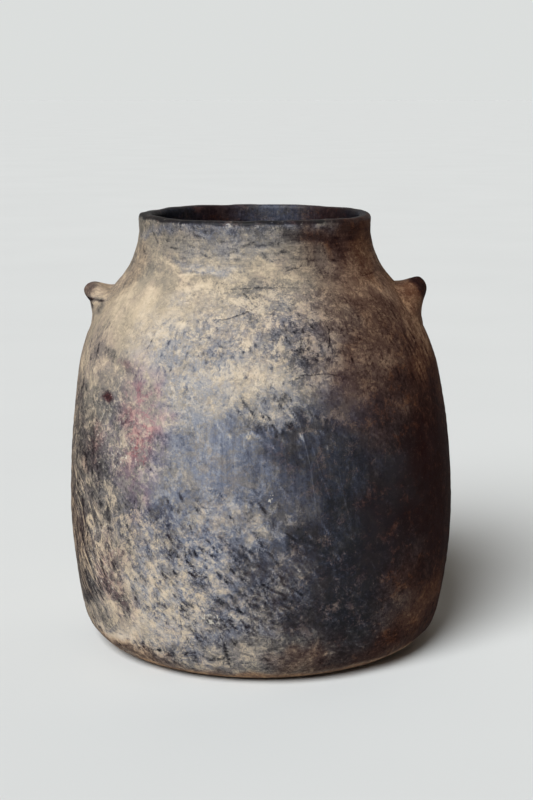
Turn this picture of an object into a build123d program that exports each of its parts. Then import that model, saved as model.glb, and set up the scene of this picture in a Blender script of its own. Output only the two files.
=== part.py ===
from build123d import *
import os
from dataclasses import dataclass
from math import asin, atan2, cos, degrees, radians, sin, sqrt, tan

# Hand-built olla of smoked earthenware, in millimetres.
# The origin is the centre of the flat base, +Z is up and +X points at the right lug.
# The wall is raised in clay courses on a moulded base pan, each course seated in the bevelled
# edge of the one below. Two lugs are pegged through the shoulder. No piece moves once fired.

# Outside form: arcs that run into each other without a break, from the base to the lip
HEIGHT = 300.0
BELLY_RADIUS = 134.7
BELLY_HEIGHT = 93.0
HEEL_ARC = 29.0
LOWER_WALL_ARC = 321.0
UPPER_WALL_ARC = 550.0
SHOULDER_DROP = 109.0  # start of the shoulder, below the crest of the lip
NECK_ARC = 58.0
THROAT_RADIUS = 79.8  # outside, at the narrowest place of the neck
THROAT_DROP = 7.0
LIP_ROUND = 4.5  # radius of the rolled lip, a little thicker than the wall

# Thickness of the clay
WALL = 8.0
FLOOR = 10.0
INNER_HEEL_ARC = 22.0

# Joints between the courses
PAN_LIP = 2.5  # edge of the base pan, above the floor inside
WALL_COURSES = ("foot_course", "lower_wall_course", "belly_course", "upper_wall_course")
SHOULDER_FOOT_DROP = 92.0
NECK_FOOT_DROP = 42.0
RIM_FOOT_DROP = 14.0
BEVEL = 30.0  # degrees off a square joint, with the outer end the higher one

# Lugs: a tilted tongue with a rounded edge, a web under it and a tapered peg through the wall
LUG_DROP = 60.0  # axis of the peg, below the crest of the lip
LUG_PROJECTION = 13.4  # outermost point, past the wall at the peg
LUG_PLAN_RADIUS = 27.0
LUG_THICKNESS = 12.0
LUG_EDGE_FLAT = 0.3  # left between the two roundings of the tongue's edge
LEFT_TILT = 11.0
RIGHT_TILT = 17.0
LEFT_NOSE_RISE = 7.0  # middle of the tongue's edge, above the axis of the peg
RIGHT_NOSE_RISE = 11.0
WEB_SETBACK = 3.0  # front of the web, behind the edge of the tongue
WEB_HOLLOW_ARC = 60.0
WEB_DROP = 17.0  # foot of the web, below the axis of the peg
PEG_RADIUS = 8.5  # at the outer skin
PEG_TAPER = 6.0  # degrees, each side
PEG_EMBED = 5.0  # length of the peg inside the web

CUT_MARGIN = 3.0  # how far a cutting outline runs past the skin


@dataclass
class SkinArc:
    """An arc of the outer skin, between two directions of its outward normal, in degrees.

    The radius of a hollow arc is negative, so the same sums serve both kinds.
    """

    centre: Vector
    radius: float
    first: float
    last: float

    def point(self, normal, inset=0.0):
        reach = self.radius - inset
        return self.centre + Vector(cos(radians(normal)), sin(radians(normal))) * reach

    def draw(self, inset=0.0):
        reach = self.radius - inset
        half_turn = 180 if reach < 0 else 0
        CenterArc(self.centre, abs(reach), self.first + half_turn, self.last - self.first)


def heel_and_lower_wall(corner, floor, inset):
    """Corner arc that touches the floor and the lower wall, and that wall up to the belly."""
    wall_reach = LOWER_WALL_ARC - inset
    wall_centre = Vector(BELLY_RADIUS - LOWER_WALL_ARC, BELLY_HEIGHT)
    rise = floor + corner - BELLY_HEIGHT
    run = sqrt((wall_reach - corner) ** 2 - rise**2)
    break_normal = degrees(atan2(rise, run))
    heel = SkinArc(wall_centre + Vector(run, rise), corner, -90, break_normal)
    return heel, SkinArc(wall_centre, LOWER_WALL_ARC, break_normal, 0)


def belly_to_lip():
    """Upper wall, shoulder and neck. The shoulder's arc follows from its two neighbours."""
    wall_centre = Vector(BELLY_RADIUS - UPPER_WALL_ARC, BELLY_HEIGHT)
    break_normal = degrees(asin((HEIGHT - SHOULDER_DROP - BELLY_HEIGHT) / UPPER_WALL_ARC))
    upper_wall = SkinArc(wall_centre, UPPER_WALL_ARC, 0, break_normal)

    neck_centre = Vector(THROAT_RADIUS + NECK_ARC, HEIGHT - THROAT_DROP)
    start = upper_wall.point(break_normal)
    outward = Vector(cos(radians(break_normal)), sin(radians(break_normal)))
    span = start - neck_centre
    shoulder_arc = (span.dot(span) - NECK_ARC**2) / (2 * (NECK_ARC + span.dot(outward)))
    shoulder_centre = start - outward * shoulder_arc
    to_neck = neck_centre - shoulder_centre
    neck_normal = degrees(atan2(to_neck.Y, to_neck.X))
    shoulder = SkinArc(shoulder_centre, shoulder_arc, break_normal, neck_normal)

    lip_normal = -degrees(asin((THROAT_DROP - LIP_ROUND) / (NECK_ARC + WALL / 2)))
    neck = SkinArc(neck_centre, -NECK_ARC, neck_normal, lip_normal)
    return upper_wall, shoulder, neck


upper_skin = belly_to_lip()
outer_skin = heel_and_lower_wall(HEEL_ARC, 0, 0) + upper_skin
inner_heel, inner_lower_wall = heel_and_lower_wall(INNER_HEEL_ARC, FLOOR, WALL)
lip = upper_skin[-1]
lip_centre = lip.point(lip.last, WALL / 2)


def draw_outer_skin():
    for arc in outer_skin:
        arc.draw()


def draw_inner_skin():
    inner_heel.draw()
    for arc in (inner_lower_wall, *upper_skin):
        arc.draw(WALL)


def skin_at(height):
    """Point of the outer skin at a height, and its normal in degrees."""
    for arc in outer_skin:
        if height <= arc.point(arc.last).Y:
            break
    normal = degrees(asin((height - arc.centre.Y) / arc.radius))
    return arc.point(normal), normal


# The whole wall in section, and the forms of its outside and its hollow
with BuildSketch(Plane.XZ) as wall_section:
    with BuildLine():
        draw_outer_skin()
        Line(lip.point(lip.last), lip.point(lip.last, WALL))
        draw_inner_skin()
        Line(inner_heel.point(-90), (0, FLOOR))
        Line((0, FLOOR), (0, 0))
        Line((0, 0), outer_skin[0].point(-90))
    make_face()
    with Locations(lip_centre):
        Circle(LIP_ROUND)

with BuildPart() as outside:
    with BuildSketch(Plane.XZ):
        with BuildLine():
            draw_outer_skin()
            Line(lip.point(lip.last), (0, lip.point(lip.last).Y))
            Line((0, lip.point(lip.last).Y), (0, 0))
            Line((0, 0), outer_skin[0].point(-90))
        make_face()
    revolve(axis=Axis.Z)

with BuildPart() as hollow:
    with BuildSketch(Plane.XZ):
        with BuildLine():
            draw_inner_skin()
            Line(lip.point(lip.last, WALL), (0, lip.point(lip.last, WALL).Y))
            Line((0, lip.point(lip.last, WALL).Y), (0, FLOOR))
            Line((0, FLOOR), inner_heel.point(-90))
        make_face()
    revolve(axis=Axis.Z)


@dataclass
class Joint:
    """Seam between two courses in section, as a line that runs past both skins."""

    outer: Vector
    inner: Vector


def flat_joint(height):
    """Level seam across the rounded heel, from the outer skin to the flat of the floor."""
    skin = skin_at(height)[0]
    return Joint(skin + Vector(CUT_MARGIN, 0), Vector(inner_heel.centre.X, height))


def bevelled_joint(height):
    """Seam that meets the outer skin at a height and slopes down to the inner skin."""
    skin, normal = skin_at(height)
    inward = radians(normal + 180 + BEVEL)
    along = Vector(cos(inward), sin(inward))
    depth = WALL / cos(radians(BEVEL)) + CUT_MARGIN
    return Joint(skin - along * CUT_MARGIN, skin + along * depth)


def draw_area_above(joint):
    """Outline of all that lies above a joint."""
    far = BELLY_RADIUS + CUT_MARGIN
    top = HEIGHT + CUT_MARGIN
    Polyline(
        joint.outer,
        joint.inner,
        (0, joint.inner.Y),
        (0, top),
        (far, top),
        (far, joint.outer.Y),
        close=True,
    )


def course_section(foot=None, head=None):
    """Section of the course between two joints, for the sketch that is open."""
    add(wall_section.sketch)
    if foot:
        with BuildLine() as above_foot:
            draw_area_above(foot)
        make_face(above_foot.edges(), mode=Mode.INTERSECT)
    if head:
        with BuildLine() as above_head:
            draw_area_above(head)
        make_face(above_head.edges(), mode=Mode.SUBTRACT)


# Joints, from the pan's edge up
pan_top = FLOOR + PAN_LIP
course_rise = (HEIGHT - SHOULDER_FOOT_DROP - pan_top) / len(WALL_COURSES)
wall_joints = [flat_joint(pan_top)]
for course_number in range(1, len(WALL_COURSES) + 1):
    wall_joints.append(bevelled_joint(pan_top + course_number * course_rise))
neck_joint = bevelled_joint(HEIGHT - NECK_FOOT_DROP)
rim_joint = bevelled_joint(HEIGHT - RIM_FOOT_DROP)

os.makedirs("parts", exist_ok=True)

# Base pan: the flat base with the lower half of the rounded heel, cut level at its edge
with BuildPart() as base_pan:
    with BuildSketch(Plane.XZ):
        course_section(head=wall_joints[0])
    revolve(axis=Axis.Z)
base_pan.part.label = "base_pan"
export_step(base_pan.part, "parts/base_pan.step")

# Wall courses, from the pan's edge to the foot of the shoulder
for course_name, foot, head in zip(WALL_COURSES, wall_joints[:-1], wall_joints[1:]):
    with BuildPart() as course:
        with BuildSketch(Plane.XZ):
            course_section(foot, head)
        revolve(axis=Axis.Z)
    course.part.label = course_name
    export_step(course.part, f"parts/{course_name}.step")

# Tapered pegs of the lugs, level and square to the axis of the jar
peg_height = HEIGHT - LUG_DROP
peg_skin, peg_normal = skin_at(peg_height)
wall_run = WALL / cos(radians(peg_normal)) + PEG_RADIUS * tan(radians(peg_normal))
peg_inner_end = peg_skin.X - wall_run - CUT_MARGIN
peg_outer_end = peg_skin.X + PEG_EMBED


def lug_plane(side):
    """Upright plane through the axis of the jar, with its x towards the lug on that side."""
    return Plane((0, 0, 0), x_dir=(side, 0, 0), z_dir=(0, -side, 0))


def peg_radius(reach):
    return PEG_RADIUS + (reach - peg_skin.X) * tan(radians(PEG_TAPER))


pegs = {}
for side in (-1, 1):
    with BuildPart() as peg:
        with BuildSketch(lug_plane(side)):
            with BuildLine():
                Polyline(
                    (peg_inner_end, peg_height),
                    (peg_outer_end, peg_height),
                    (peg_outer_end, peg_height + peg_radius(peg_outer_end)),
                    (peg_inner_end, peg_height + peg_radius(peg_inner_end)),
                    close=True,
                )
            make_face()
        revolve(axis=Axis((0, 0, peg_height), (side, 0, 0)))
    pegs[side] = peg.part

# Shoulder course, with a tapered socket for each lug's peg
with BuildPart() as shoulder_course:
    with BuildSketch(Plane.XZ):
        course_section(wall_joints[-1], neck_joint)
    revolve(axis=Axis.Z)
    for peg_form in pegs.values():
        add(peg_form, mode=Mode.SUBTRACT)
shoulder_course.part.label = "shoulder_course"
export_step(shoulder_course.part, "parts/shoulder_course.step")

# Neck collar: the hollow curve between the shoulder and the mouth
with BuildPart() as neck_collar:
    with BuildSketch(Plane.XZ):
        course_section(neck_joint, rim_joint)
    revolve(axis=Axis.Z)
neck_collar.part.label = "neck_collar"
export_step(neck_collar.part, "parts/neck_collar.step")

# Rim coil: the last coil, rounded over as the lip
with BuildPart() as rim_coil:
    with BuildSketch(Plane.XZ):
        course_section(foot=rim_joint)
    revolve(axis=Axis.Z)
rim_coil.part.label = "rim_coil"
export_step(rim_coil.part, "parts/rim_coil.step")

# Lugs, each cut to the outer skin and pegged through the wall, flush with the hollow
lug_forms = (
    ("left_lug", -1, LEFT_TILT, LEFT_NOSE_RISE),
    ("right_lug", 1, RIGHT_TILT, RIGHT_NOSE_RISE),
)
lug_reach = peg_skin.X + LUG_PROJECTION
web_front = lug_reach - WEB_SETBACK
web_foot = skin_at(peg_height - WEB_DROP)[0]
for lug_name, side, tilt, nose_rise in lug_forms:
    slope = Vector(cos(radians(tilt)), sin(radians(tilt)))
    nose = Vector(lug_reach, peg_height + nose_rise)
    middle = nose - slope * LUG_PLAN_RADIUS
    tongue_plane = Plane(
        (side * middle.X, 0, middle.Y),
        x_dir=(side * slope.X, 0, slope.Y),
        z_dir=(-side * slope.Y, 0, slope.X),
    )
    with BuildPart() as lug:
        with BuildSketch(tongue_plane):
            Circle(LUG_PLAN_RADIUS)
        extrude(amount=LUG_THICKNESS / 2, both=True)
        fillet(lug.edges().filter_by(GeomType.CIRCLE), (LUG_THICKNESS - LUG_EDGE_FLAT) / 2)
        with BuildSketch(lug_plane(side)):
            with BuildLine():
                Polyline((web_foot.X, web_foot.Y), (middle.X, web_foot.Y), middle, (web_front, nose.Y))
                RadiusArc((web_front, nose.Y), (web_foot.X, web_foot.Y), -WEB_HOLLOW_ARC)
            make_face()
        revolve(axis=Axis((side * middle.X, 0, 0), (0, 0, 1)))
        add(outside.part, mode=Mode.SUBTRACT)
        add(pegs[side])
        add(hollow.part, mode=Mode.SUBTRACT)
    lug.part.label = lug_name
    export_step(lug.part, f"parts/{lug_name}.step")
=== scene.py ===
import math
import bpy
import numpy as np
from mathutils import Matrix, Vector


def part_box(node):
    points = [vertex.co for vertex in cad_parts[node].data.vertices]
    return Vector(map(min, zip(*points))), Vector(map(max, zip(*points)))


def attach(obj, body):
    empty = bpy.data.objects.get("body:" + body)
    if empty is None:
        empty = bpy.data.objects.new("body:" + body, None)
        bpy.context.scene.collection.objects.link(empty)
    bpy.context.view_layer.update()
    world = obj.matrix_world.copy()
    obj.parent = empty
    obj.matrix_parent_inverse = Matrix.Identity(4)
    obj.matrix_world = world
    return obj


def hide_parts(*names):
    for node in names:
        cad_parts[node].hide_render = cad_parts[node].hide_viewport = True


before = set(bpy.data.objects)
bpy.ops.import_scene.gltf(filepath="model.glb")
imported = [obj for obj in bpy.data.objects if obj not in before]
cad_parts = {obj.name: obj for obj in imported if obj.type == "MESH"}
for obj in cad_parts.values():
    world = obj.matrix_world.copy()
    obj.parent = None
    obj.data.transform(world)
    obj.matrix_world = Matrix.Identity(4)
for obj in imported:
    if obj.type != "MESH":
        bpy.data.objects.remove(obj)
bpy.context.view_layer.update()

# Hand-built olla of smoked earthenware, in metres, in the frame of the solids: +Z up, -Y to the front.
# Each course, the base pan and each lug is a fine mesh over its own solid. All of them follow one skin,
# with one hand-made unevenness, so that the smeared seams between the courses don't show.

MM = 0.001
TINY = 1e-12

# Form of the jar, as in the solids
HEIGHT = 300 * MM
BELLY_RADIUS = 134.7 * MM
BELLY_HEIGHT = 93 * MM
HEEL_ARC = 29 * MM
LOWER_WALL_ARC = 321 * MM
UPPER_WALL_ARC = 550 * MM
SHOULDER_DROP = 109 * MM
NECK_ARC = 58 * MM
THROAT_RADIUS = 79.8 * MM
THROAT_DROP = 7 * MM
LIP_ROUND = 4.5 * MM
WALL = 8 * MM
FLOOR = 10 * MM
INNER_HEEL_ARC = 22 * MM
BEVEL = math.radians(30)

# Courses from the base up; each ends at the height of its solid's upper edge
COURSES = (
    "base_pan", "foot_course", "lower_wall_course", "belly_course",
    "upper_wall_course", "shoulder_course", "neck_collar", "rim_coil",
)

# Fineness of the meshes
AROUND = 840
OUTER_STEP = 0.9 * MM
INNER_STEP = 4 * MM
FLAT_STEP = 8 * MM
ARC_STEPS = 400
LIP_STEPS = 22
POLE_RADIUS = 1.5 * MM

# Hand-made unevenness; each noise is given as its depth, its size and its layer of the lattice
LEAN = -4.3 * MM  # shift of the mouth towards the left lug
LEAN_RUN = (120 * MM, 290 * MM)  # heights between which the wall leans over
SWELL = (0.55 * MM, 80 * MM, 0)
LESSER_SWELL = (0.275 * MM, 38 * MM, 1)
DENT = (0.28 * MM, 15 * MM, 2)
DENT_SQUEEZE = (1, 1, 0.3)  # dents are longer upwards
SCRAPE = (0.16 * MM, 3.4 * MM, 3)
SCRAPE_SQUEEZE = (0.3, 0.3, 1)  # scrape marks are longer sideways
TRUE_BASE = 12 * MM  # height over which the unevenness comes in
HEEL_RIDGE = 0.35 * MM
HEEL_RIDGE_HEIGHT = 14.5 * MM
HEEL_RIDGE_HALF = 2.2 * MM
LIP_WAVE = (0.7 * MM, 45 * MM, 4)
LIP_RIPPLE = (0.28 * MM, 9 * MM, 5)
LIP_WAVE_RUN = 30 * MM
LIP_BEAD_RUN = 9 * MM
LIP_SQUARENESS = 3.0  # 2 would be a round lip


def smooth_step(low, high, value):
    share = np.clip((value - low) / (high - low), 0, 1)
    return share * share * (3 - 2 * share)


def bell(offset, half_width):
    """1 where the offset is nought, fading to both sides."""
    return np.exp(-((offset / half_width) ** 2))


# Noise: values on a lattice of cubes, blended smoothly between the corners of each cube
LATTICE = 32
LATTICE_LAYERS = 12
LATTICE_SEED = 11
LATTICE_SHAPE = (LATTICE_LAYERS, LATTICE, LATTICE, LATTICE)
LATTICE_VALUES = np.random.default_rng(LATTICE_SEED).uniform(-1, 1, LATTICE_SHAPE)
LATTICE_SHIFT = 1000.5


def noise(points, depth, size, layer):
    """Noise of this depth to both sides of nought at each point, with bumps about as wide as the size."""
    cell = points / size + LATTICE_SHIFT
    corner = np.floor(cell).astype(int)
    share = cell - corner
    share = share * share * share * (share * (share * 6 - 15) + 10)
    total = np.zeros(len(points))
    for offset in np.ndindex(2, 2, 2):
        weight = np.where(offset, share, 1 - share).prod(axis=1)
        x, y, z = ((corner + offset) % LATTICE).T
        total += weight * LATTICE_VALUES[layer, x, y, z]
    return depth * total


# Section of the skin: rows of radius, height and outward normal, from arcs that run into each other
def arc_rows(centre, radius, first, last, inset=0.0):
    """Points of an arc between two directions of its normal; a hollow arc has a negative radius."""
    normal = np.linspace(first, last, ARC_STEPS)
    outward = np.stack([np.cos(normal), np.sin(normal)], axis=1)
    return np.hstack([np.asarray(centre) + outward * (radius - inset), outward])


def heel_and_lower_wall(corner, floor, inset):
    wall_centre = np.array([BELLY_RADIUS - LOWER_WALL_ARC, BELLY_HEIGHT])
    rise = floor + corner - BELLY_HEIGHT
    run = math.sqrt((LOWER_WALL_ARC - inset - corner) ** 2 - rise**2)
    break_normal = math.atan2(rise, run)
    heel = arc_rows(wall_centre + (run, rise), corner, -math.pi / 2, break_normal)
    return [heel, arc_rows(wall_centre, LOWER_WALL_ARC, break_normal, 0, inset)]


def belly_to_lip(inset):
    wall_centre = np.array([BELLY_RADIUS - UPPER_WALL_ARC, BELLY_HEIGHT])
    break_normal = math.asin((HEIGHT - SHOULDER_DROP - BELLY_HEIGHT) / UPPER_WALL_ARC)
    outward = np.array([math.cos(break_normal), math.sin(break_normal)])
    start = wall_centre + outward * UPPER_WALL_ARC
    neck_centre = np.array([THROAT_RADIUS + NECK_ARC, HEIGHT - THROAT_DROP])
    span = start - neck_centre
    shoulder_arc = (span @ span - NECK_ARC**2) / (2 * (NECK_ARC + span @ outward))
    shoulder_centre = start - outward * shoulder_arc
    to_neck = neck_centre - shoulder_centre
    neck_normal = math.atan2(to_neck[1], to_neck[0])
    lip_normal = -math.asin((THROAT_DROP - LIP_ROUND) / (NECK_ARC + WALL / 2))
    return [
        arc_rows(wall_centre, UPPER_WALL_ARC, 0, break_normal, inset),
        arc_rows(shoulder_centre, shoulder_arc, break_normal, neck_normal, inset),
        arc_rows(neck_centre, -NECK_ARC, neck_normal, lip_normal, inset),
    ]


def swell_to_lip(rows):
    """Sets rows of the wall proud of it where the lip is rolled over."""
    lip_height = HEIGHT - LIP_ROUND
    proud = (LIP_ROUND - WALL / 2) * smooth_step(lip_height - LIP_BEAD_RUN, lip_height, rows[:, 1])
    rows[:, :2] += rows[:, 2:] * proud[:, None]
    return rows


outer_skin = swell_to_lip(np.vstack(heel_and_lower_wall(HEEL_ARC, 0, 0) + belly_to_lip(0)))
inner_skin = np.vstack(heel_and_lower_wall(INNER_HEEL_ARC, FLOOR, WALL) + belly_to_lip(WALL))
inner_skin[:, 2:] *= -1
inner_skin = swell_to_lip(inner_skin)


def rows_between(skin, low, high, step):
    """Evenly spaced rows of a skin between two heights, both ends included."""
    length = np.append(0, np.hypot(*np.diff(skin[:, :2], axis=0).T).cumsum())
    first, last = np.interp([low, high], skin[:, 1], length)
    places = np.linspace(first, last, max(2, math.ceil((last - first) / step) + 1))
    return np.stack([np.interp(places, length, column) for column in skin.T], axis=1)


def skin_at(height):
    return np.array([np.interp(height, outer_skin[:, 1], column) for column in outer_skin.T])


def inner_end(height):
    """Height at which a bevelled seam that starts at this height outside reaches the inner skin."""
    normal_r, normal_z = skin_at(height)[2:]
    inward = math.atan2(normal_z, normal_r) + math.pi + BEVEL
    return height + math.sin(inward) * WALL / math.cos(BEVEL)


def flat_rows(inner, outer, height, facing):
    radii = np.linspace(inner, outer, math.ceil((outer - inner) / FLAT_STEP) + 1)
    return np.array([(radius, height, 0, facing) for radius in radii])


def lip_edge(start, end):
    """Rows over the lip, from its outer to its inner side, squarer than a half circle."""
    middle = (start[:2] + end[:2]) / 2
    half = np.hypot(*(start[:2] - end[:2])) / 2
    turn = math.atan2(start[3], start[2]) + np.linspace(0, math.pi, LIP_STEPS + 1)[1:]
    outward = np.stack([np.cos(turn), np.sin(turn)], axis=1)
    edge = np.sign(outward) * np.abs(outward) ** (2 / LIP_SQUARENESS)
    return np.hstack([middle + edge * half, outward])


def section_rows():
    """Every row of the skin from the middle of the base, over the lip, to the middle of the floor.

    Also gives the rows of the outer wall, and each course's first and last row outside and inside.
    """
    tops = [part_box(name)[1].z for name in COURSES[:-1]]
    outer_bounds = [outer_skin[0, 1], *tops, outer_skin[-1, 1]]
    inner_bounds = [FLOOR, tops[0], *[inner_end(top) for top in tops[1:]], inner_skin[-1, 1]]

    rows = [flat_rows(POLE_RADIUS, outer_skin[0, 0], 0, -1)]
    wall_start = len(rows[0])
    count = wall_start
    outside, inside = [], []
    for index, (low, high) in enumerate(zip(outer_bounds[:-1], outer_bounds[1:])):
        course = rows_between(outer_skin, low, high, OUTER_STEP)[1:]
        first = 0 if index == 0 else count - 1
        rows.append(course)
        count += len(course)
        outside.append((first, count - 1))
    wall_rows = slice(wall_start, count - 1)

    rows.append(lip_edge(outer_skin[-1], inner_skin[-1]))
    count += LIP_STEPS
    outside[-1] = (outside[-1][0], count - 1)

    for low, high in zip(inner_bounds[-2::-1], inner_bounds[:0:-1]):
        course = rows_between(inner_skin, low, high, INNER_STEP)[-2::-1]
        first = count - 1
        rows.append(course)
        count += len(course)
        inside.insert(0, (first, count - 1))

    floor = flat_rows(POLE_RADIUS, inner_skin[0, 0], FLOOR, 1)[-2::-1]
    rows.append(floor)
    inside[0] = (inside[0][0], count + len(floor) - 1)
    return np.vstack(rows), wall_rows, outside, inside


# Points of the skin: bearing is the angle from the front, positive towards the right lug
def place(radius, bearing, height):
    return np.stack([radius * np.sin(bearing), -radius * np.cos(bearing), height], axis=-1)


def uneven(points, outward):
    """Moves points of the true form to where the hand-built wall is."""
    height = points[:, 2]
    offset = noise(points, *SWELL) + noise(points, *LESSER_SWELL)
    offset += noise(points * DENT_SQUEEZE, *DENT)
    offset += noise(points * SCRAPE_SQUEEZE, *SCRAPE)
    offset += HEEL_RIDGE * bell(height - HEEL_RIDGE_HEIGHT, HEEL_RIDGE_HALF)
    offset *= smooth_step(0, TRUE_BASE, height)
    moved = points + outward * offset[:, None]

    ring = points * (1, 1, 0)
    wave = noise(ring, *LIP_WAVE) + noise(ring, *LIP_RIPPLE)
    moved[:, 2] += smooth_step(HEIGHT - LIP_WAVE_RUN, HEIGHT, height) * wave
    moved[:, 0] += LEAN * smooth_step(*LEAN_RUN, height)
    return moved


def grid_normals(points, rows, columns, closed):
    """Normals of a grid of points, from the differences to the neighbours on both sides."""
    grid = points.reshape(rows, columns, 3)
    along = np.gradient(grid, axis=0)
    if closed:
        across = np.roll(grid, -1, axis=1) - np.roll(grid, 1, axis=1)
    else:
        across = np.gradient(grid, axis=1)
    normal = np.cross(across, along)
    normal /= np.linalg.norm(normal, axis=2, keepdims=True) + TINY
    return normal.reshape(-1, 3)


# Marks of the surface, by bearing in degrees and height in millimetres, placed one by one.
# Each mark is bearing, height, half width in degrees, half height in mm, level and opacity,
# and the marks are painted in order.
# Soot goes from bare clay at 0 to black at 1, and in places also carries painted shade and painted light;
# the others are shares.
SOOT_AND_SHADE = (
    # belly and lower wall: nearly black on the right and darker at the left edge, partly soot and partly
    # painted shade; paler at the lower left
    (0, 95, 100, 120, 0.58, 1), (62, 105, 42, 120, 1, 1), (18, 118, 24, 78, 0.88, 0.9),
    (28, 60, 28, 60, 0.97, 0.9), (-68, 150, 16, 34, 0.64, 0.8), (-40, 165, 18, 38, 0.52, 0.7),
    (-60, 178, 15, 20, 0.52, 0.8), (-16, 152, 16, 28, 0.55, 0.8), (-30, 62, 17, 46, 0.44, 0.8),
    (-42, 36, 18, 13, 0.34, 0.8), (-60, 22, 20, 8, 0.38, 0.7), (-74, 85, 12, 55, 0.62, 0.7),
    (-2, 64, 11, 36, 0.62, 0.6), (-11, 24, 12, 9, 0.46, 0.8),
    # shoulder: pale on the left and in front
    (-50, 238, 42, 34, 0.24, 1), (-78, 214, 16, 38, 0.44, 0.8), (-52, 264, 36, 9, 0.4, 0.7),
    (-5, 236, 31, 36, 0.36, 1), (-10, 197, 24, 16, 0.25, 0.9), (-32, 184, 13, 13, 0.38, 0.6),
    (38, 236, 22, 38, 0.68, 1), (74, 236, 24, 40, 0.62, 1), (21, 205, 7, 10, 0.46, 0.7),
    (18, 228, 9, 13, 0.66, 0.7),
    # neck
    (-50, 280, 42, 14, 0.44, 0.9), (0, 281, 24, 15, 0.49, 0.9), (50, 284, 36, 18, 0.86, 1),
    (-24, 273, 18, 6, 0.48, 0.6), (66, 284, 10, 9, 0.62, 0.6),
    # right heel, sides and back
    (58, 44, 18, 28, 0.72, 0.8), (116, 58, 22, 42, 0.88, 0.8), (130, 166, 18, 34, 0.76, 0.8),
    (112, 216, 18, 22, 0.74, 0.7), (152, 98, 22, 30, 0.7, 0.7), (168, 186, 26, 30, 0.46, 0.7),
    (-132, 66, 24, 38, 0.46, 0.7), (-112, 196, 20, 28, 0.44, 0.6), (178, 250, 40, 16, 0.4, 0.6),
    (-148, 240, 26, 24, 0.38, 0.7), (-164, 232, 16, 18, 0.45, 0.7), (-130, 118, 15, 58, 0.68, 0.7),
    (173, 140, 14, 18, 0.52, 0.7),
)
# Touches shift the soot after that: bearing, height, half width, half height and shift
TOUCHES = (
    # neck
    (-48, 258, 16, 8, 0.2), (-42, 280, 14, 8, 0.06), (-28, 291, 18, 7, -0.11), (-24, 281, 16, 9, -0.05),
    (-18, 261, 8, 7, 0.11), (-10, 268, 14, 8, -0.08), (4, 266, 16, 14, -0.05), (6, 258, 8, 8, 0.15),
    (12, 279, 13, 12, -0.1), (12, 292, 22, 6, 0.14), (24, 280, 10, 10, -0.08), (28, 262, 10, 8, -0.1),
    (40, 258, 18, 9, -0.12), (50, 262, 10, 8, -0.06), (62, 276, 14, 12, -0.14),
    # shoulder
    # the touch at bearing -81 and height 240 is painted shade under the left lug's tip
    (-81, 240, 4, 6, 0.4), (-66, 201, 8, 12, -0.16), (-63, 208, 4, 10, 0.18), (-60, 222, 14, 15, 0.08),
    (-55, 212, 4, 7, 0.15), (-54, 240, 9, 10, 0.06), (-50, 221, 9, 9, 0.07), (-46, 201, 28, 9, -0.06),
    (-45, 207, 5, 8, 0.2), (-43, 242, 8, 10, -0.08), (-32, 198, 11, 10, 0.13),
    (-20, 220, 16, 10, -0.04), (-20, 240, 24, 12, -0.07), (-18, 202, 8, 8, -0.05),
    (-18, 228, 11, 18, 0.09), (-12, 240, 14, 9, -0.06), (6, 228, 8, 14, 0.11), (6, 240, 8, 8, 0.1),
    (17, 220, 8, 12, 0.15), (18, 202, 7, 8, 0.06), (22, 236, 12, 18, -0.06), (30, 222, 7, 9, 0.06),
    (44, 196, 12, 20, -0.05), (54, 222, 8, 10, 0.06), (70, 247, 12, 8, -0.07), (72, 206, 11, 24, -0.11),
    # belly
    (-54, 140, 9, 13, 0.15), (-48, 119, 14, 9, -0.05), (-44, 178, 9, 10, 0.14),
    (-42, 165, 10, 24, -0.06), (-30, 142, 10, 14, -0.05), (-24, 181, 22, 8, -0.06),
    (-21, 172, 6, 8, -0.1), (-10, 138, 12, 16, -0.05), (-6, 115, 10, 12, -0.16), (-4, 150, 9, 16, 0.05),
    (-2, 191, 5, 6, 0.04), (4, 175, 4, 5, -0.05), (6, 117, 9, 23, -0.16), (6, 160, 8, 11, 0.12),
    (6, 180, 8, 10, 0.14), (24, 190, 10, 14, -0.06), (34, 120, 12, 44, 0.06),
    # lower wall and heel
    (-66, 40, 9, 11, 0.2), (-66, 60, 8, 12, 0.07), (-57, 92, 12, 20, -0.11), (-54, 46, 9, 14, 0.12),
    (-54, 101, 8, 9, 0.12), (-47, 20, 13, 7, -0.43), (-41, 38, 11, 12, -0.14), (-30, 20, 7, 7, 0.14),
    (-30, 62, 8, 10, -0.13), (-30, 108, 9, 13, 0.15), (-20, 60, 16, 40, -0.04), (-18, 40, 8, 8, -0.07),
    (-12, 82, 10, 12, -0.09), (6, 58, 7, 11, 0.12), (10, 36, 10, 14, -0.08), (18, 74, 9, 40, -0.05),
    (42, 50, 10, 36, -0.06), (50, 12, 40, 10, -0.08), (50, 78, 9, 16, -0.1), (58, 37, 16, 13, -0.08),
    (64, 14, 14, 8, 0.07),
)
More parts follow.
